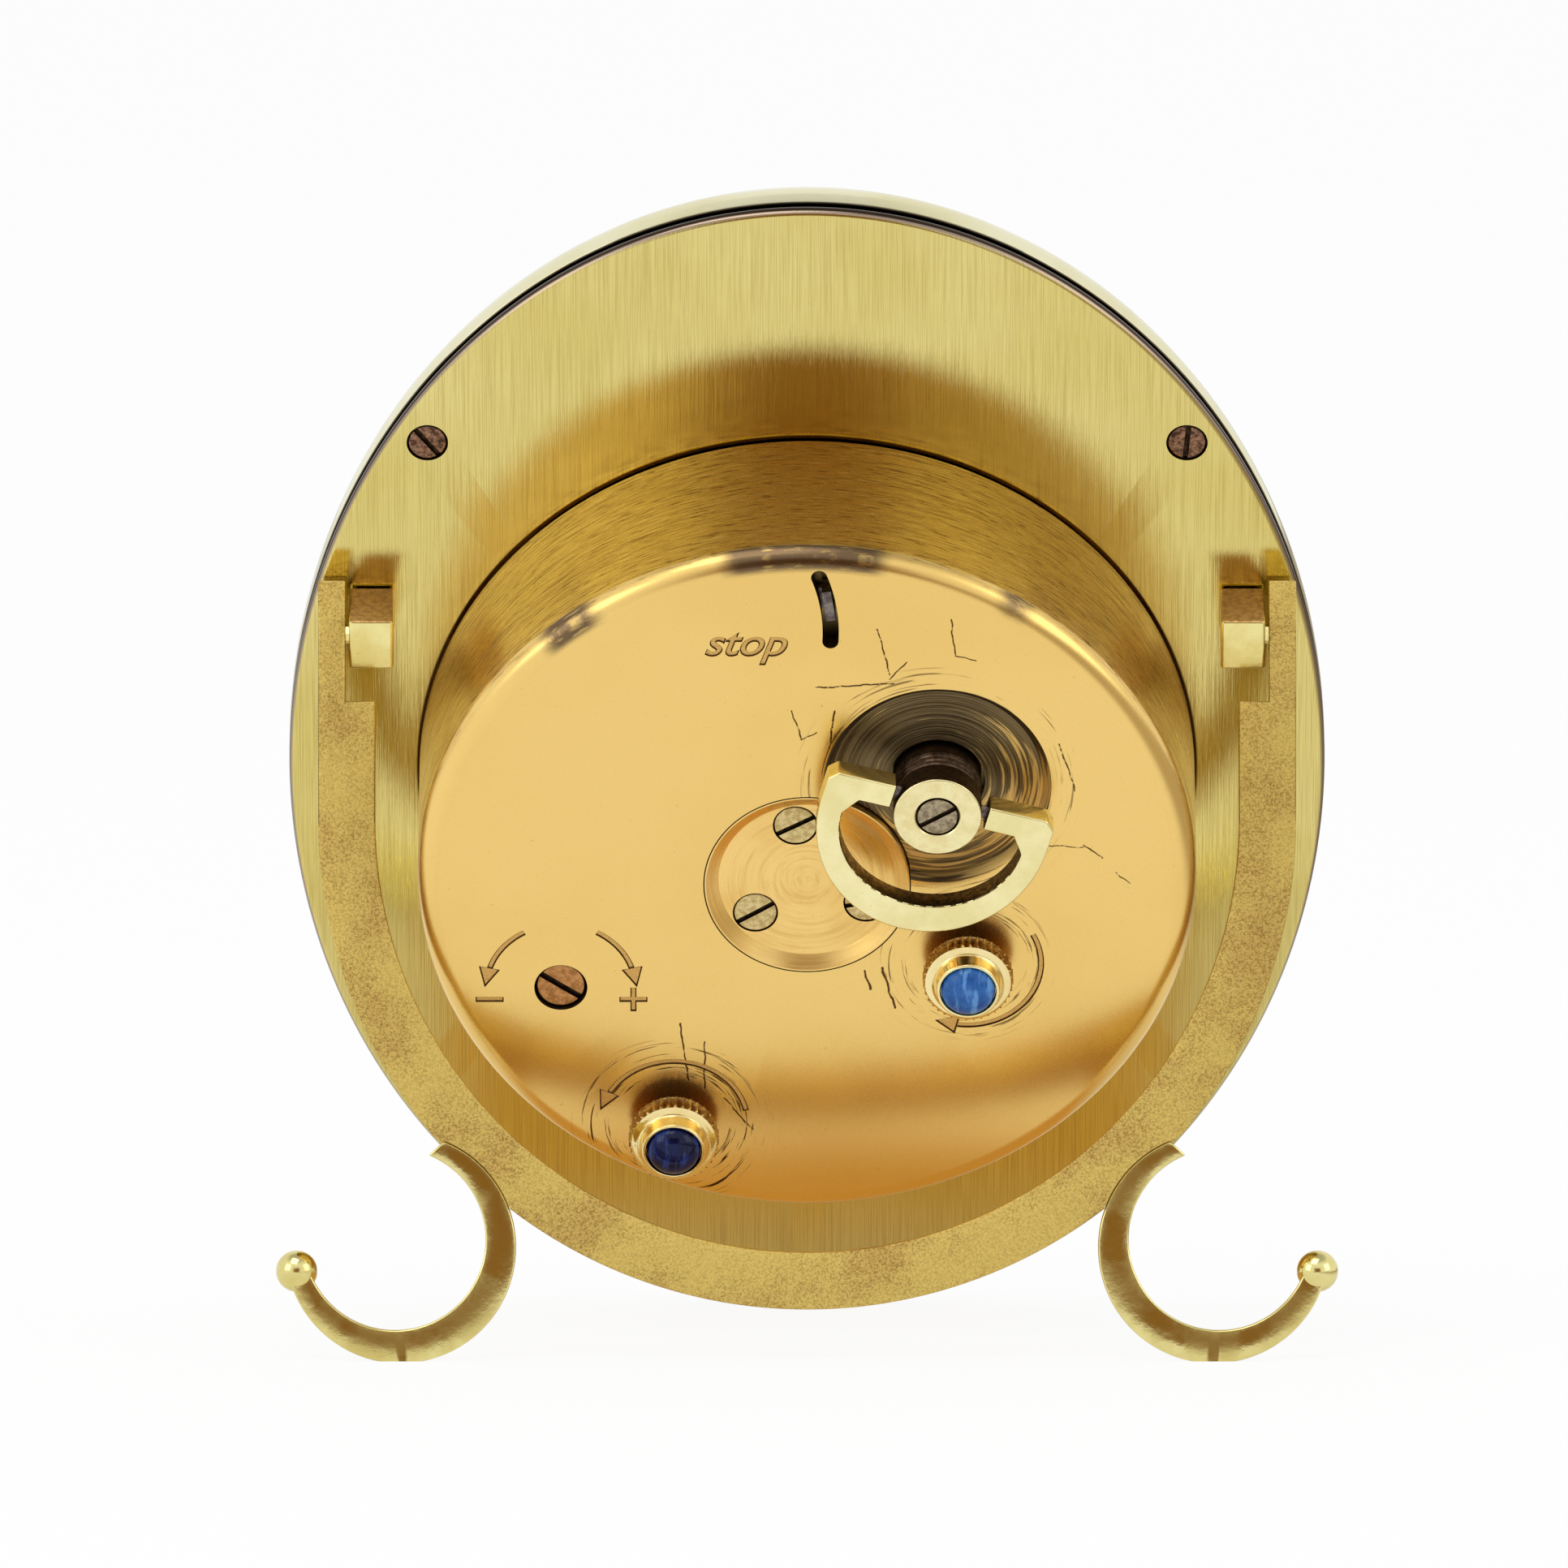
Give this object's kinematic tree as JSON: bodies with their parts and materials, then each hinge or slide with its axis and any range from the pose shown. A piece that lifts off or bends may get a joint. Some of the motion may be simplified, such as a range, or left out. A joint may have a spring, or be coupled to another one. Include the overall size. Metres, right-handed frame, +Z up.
{
  "type": "travel alarm clock",
  "caption": "Oval gilt table alarm clock with a round movement can, folding winding key, stone-set crowns and a half-ring strut on two scroll feet.",
  "frame": {"origin": "floor level under the middle of the clock's bounding box, standing on its plate edge and feet", "axes": "+Z up, -Y towards the dial's side, +Y towards the strut, +X to the left as seen from behind"},
  "size_m": [0.082, 0.0552, 0.091],
  "materials": {
    "polished_brass": "polished",
    "satin_gilt": "satin gilt",
    "cast_gilt": "matt gilt, as cast",
    "plain_brass": "fine turned",
    "pale_brass": "polished",
    "blued_steel": "blued",
    "dark_steel": "darkened",
    "bronze_screw": "toned, coppery",
    "light_blue_stone": "polished cabochon",
    "dark_blue_stone": "polished cabochon",
    "cream_enamel": "enamelled",
    "clear_crystal": "clear"
  },
  "bodies": {
    "case": {"regulator_index": "plain_brass", "back_plate": "polished_brass", "case_band": "polished_brass", "crystal": "clear_crystal", "dial": "cream_enamel", "movement_can": "satin_gilt", "inset_cap": "satin_gilt", "cap_screw_1": "pale_brass", "cap_screw_2": "pale_brass", "cap_screw_3": "pale_brass", "case_screw_1": "bronze_screw", "case_screw_2": "bronze_screw", "case_screw_3": "bronze_screw", "case_screw_4": "bronze_screw", "hinge_lug_left": "polished_brass", "hinge_lug_right": "polished_brass", "main_plate": "plain_brass", "rear_plate": "plain_brass", "pillar_1": "plain_brass", "pillar_2": "plain_brass", "pillar_3": "plain_brass", "pillar_4": "plain_brass", "hairspring": "blued_steel"},
    "strut": {"strut_ring": "cast_gilt", "foot_left": "polished_brass", "foot_right": "polished_brass", "hinge_pin_left": "plain_brass", "hinge_pin_right": "plain_brass"},
    "key": {"key_stem": "dark_steel", "key_screw": "pale_brass", "barrel_arbor": "dark_steel"},
    "bow": {"key_bow": "pale_brass", "bow_pin_left": "dark_steel", "bow_pin_right": "dark_steel"},
    "time_setting": {"time_crown": "polished_brass", "time_cabochon": "light_blue_stone", "time_arbor": "dark_steel"},
    "minute_wheel_body": {"minute_wheel": "plain_brass"},
    "minute_hand_body": {"cannon_pinion": "plain_brass", "minute_hand": "blued_steel"},
    "hour_hand_body": {"hour_wheel": "plain_brass", "hour_hand": "blued_steel"},
    "alarm_setting": {"alarm_crown": "polished_brass", "alarm_cabochon": "dark_blue_stone", "alarm_arbor": "dark_steel"},
    "alarm_idler_body": {"alarm_idler": "plain_brass"},
    "alarm_hand_body": {"alarm_wheel": "plain_brass", "alarm_hand": "plain_brass"},
    "stop_lever_body": {"stop_lever": "dark_steel"},
    "regulator_screw_body": {"regulator_screw": "bronze_screw"},
    "barrel": {"spring_barrel": "plain_brass", "mainspring": "dark_steel"},
    "centre": {"centre_wheel": "plain_brass"},
    "third": {"third_wheel": "plain_brass"},
    "fourth": {"fourth_wheel": "plain_brass"},
    "escape": {"escape_wheel": "plain_brass"},
    "pallets": {"pallet_fork": "dark_steel"},
    "balance": {"balance_wheel": "plain_brass"},
    "hammer": {"alarm_hammer": "dark_steel"},
    "strike": {"strike_wheel": "plain_brass"}
  },
  "joints": [
    {"name": "strut_fold", "type": "hinge", "parent": "case", "child": "strut", "pos_m": [0, 0.00918, 0.05576], "axis": [-1, 0, 0], "range_deg": [0, 34]},
    {"name": "key_wind", "type": "hinge", "parent": "case", "child": "key", "pos_m": [-0.01, 0.00357, 0.05253], "axis": [0, 0.8939, -0.4483], "continuous": true},
    {"name": "bow_fold", "type": "hinge", "parent": "key", "child": "bow", "pos_m": [-0.01019, 0.02201, 0.04404], "axis": [0.9636, 0.1198, 0.2389], "range_deg": [0, 90]},
    {"name": "time_set", "type": "hinge", "parent": "case", "child": "time_setting", "pos_m": [-0.0124, -0.0037, 0.03805], "axis": [0, 0.8939, -0.4483], "continuous": true},
    {"name": "minute_wheel_spin", "type": "hinge", "parent": "case", "child": "minute_wheel_body", "pos_m": [-0.0062, -0.00208, 0.04127], "axis": [0, 0.8939, -0.4483], "continuous": true},
    {"name": "minute_hand_spin", "type": "hinge", "parent": "case", "child": "minute_hand_body", "pos_m": [0, -0.00047, 0.04449], "axis": [0, 0.8939, -0.4483], "continuous": true},
    {"name": "hour_hand_spin", "type": "hinge", "parent": "case", "child": "hour_hand_body", "pos_m": [0, -0.00047, 0.04449], "axis": [0, 0.8939, -0.4483], "continuous": true},
    {"name": "alarm_set", "type": "hinge", "parent": "case", "child": "alarm_setting", "pos_m": [0.0103, -0.01029, 0.02491], "axis": [0, 0.8939, -0.4483], "continuous": true},
    {"name": "alarm_idler_spin", "type": "hinge", "parent": "case", "child": "alarm_idler_body", "pos_m": [0.00622, -0.00639, 0.03268], "axis": [0, 0.8939, -0.4483], "continuous": true},
    {"name": "alarm_hand_spin", "type": "hinge", "parent": "case", "child": "alarm_hand_body", "pos_m": [0, -0.00047, 0.04449], "axis": [0, 0.8939, -0.4483], "continuous": true},
    {"name": "stop_swing", "type": "hinge", "parent": "case", "child": "stop_lever_body", "pos_m": [0.0125, 0.0098, 0.06496], "axis": [0, 0.8939, -0.4483], "range_deg": [-6.5, 6.5]},
    {"name": "regulator_turn", "type": "hinge", "parent": "case", "child": "regulator_screw_body", "pos_m": [0.019, 0.01025, 0.0286], "axis": [0, 0.8939, -0.4483], "range_deg": [-90, 90]},
    {"name": "third_spin", "type": "hinge", "parent": "case", "child": "third", "pos_m": [0.0049, -0.00428, 0.03689], "axis": [0, 0.8939, -0.4483], "continuous": true},
    {"name": "barrel_spin", "type": "hinge", "parent": "case", "child": "barrel", "pos_m": [-0.01, 0.00357, 0.05253], "axis": [0, 0.8939, -0.4483], "continuous": true},
    {"name": "centre_spin", "type": "hinge", "parent": "case", "child": "centre", "pos_m": [0, -0.00047, 0.04449], "axis": [0, 0.8939, -0.4483], "continuous": true},
    {"name": "fourth_spin", "type": "hinge", "parent": "case", "child": "fourth", "pos_m": [0.0118, -0.00264, 0.04015], "axis": [0, 0.8939, -0.4483], "continuous": true},
    {"name": "escape_spin", "type": "hinge", "parent": "case", "child": "escape", "pos_m": [0.00955, 0.00014, 0.0457], "axis": [0, 0.8939, -0.4483], "continuous": true},
    {"name": "pallet_rock", "type": "hinge", "parent": "case", "child": "pallets", "pos_m": [0.01457, 0.00074, 0.04691], "axis": [0, 0.8939, -0.4483], "range_deg": [-5, 5]},
    {"name": "balance_swing", "type": "hinge", "parent": "case", "child": "balance", "pos_m": [0.0175, 0.0011, 0.04762], "axis": [0, 0.8939, -0.4483], "range_deg": [-120, 120], "stiffness_Nm_per_rad": 0.000004},
    {"name": "hammer_swing", "type": "hinge", "parent": "case", "child": "hammer", "pos_m": [0.0035, 0.00737, 0.06013], "axis": [0, 0.8939, -0.4483], "range_deg": [-6, 6], "stiffness_Nm_per_rad": 0.002},
    {"name": "strike_spin", "type": "hinge", "parent": "case", "child": "strike", "pos_m": [0.011, 0.00625, 0.0579], "axis": [0, 0.8939, -0.4483], "continuous": true}
  ],
  "couplings": [
    {"joint": "minute_wheel_spin", "follows": "time_set", "ratio": -0.33333},
    {"joint": "minute_hand_spin", "follows": "time_set", "ratio": 1},
    {"joint": "hour_hand_spin", "follows": "time_set", "ratio": 0.083333},
    {"joint": "alarm_idler_spin", "follows": "alarm_set", "ratio": -0.53333},
    {"joint": "alarm_hand_spin", "follows": "alarm_set", "ratio": 0.4},
    {"joint": "barrel_spin", "follows": "third_spin", "ratio": 0.05},
    {"joint": "centre_spin", "follows": "third_spin", "ratio": -0.2},
    {"joint": "fourth_spin", "follows": "third_spin", "ratio": -4},
    {"joint": "escape_spin", "follows": "third_spin", "ratio": 16}
  ]
}
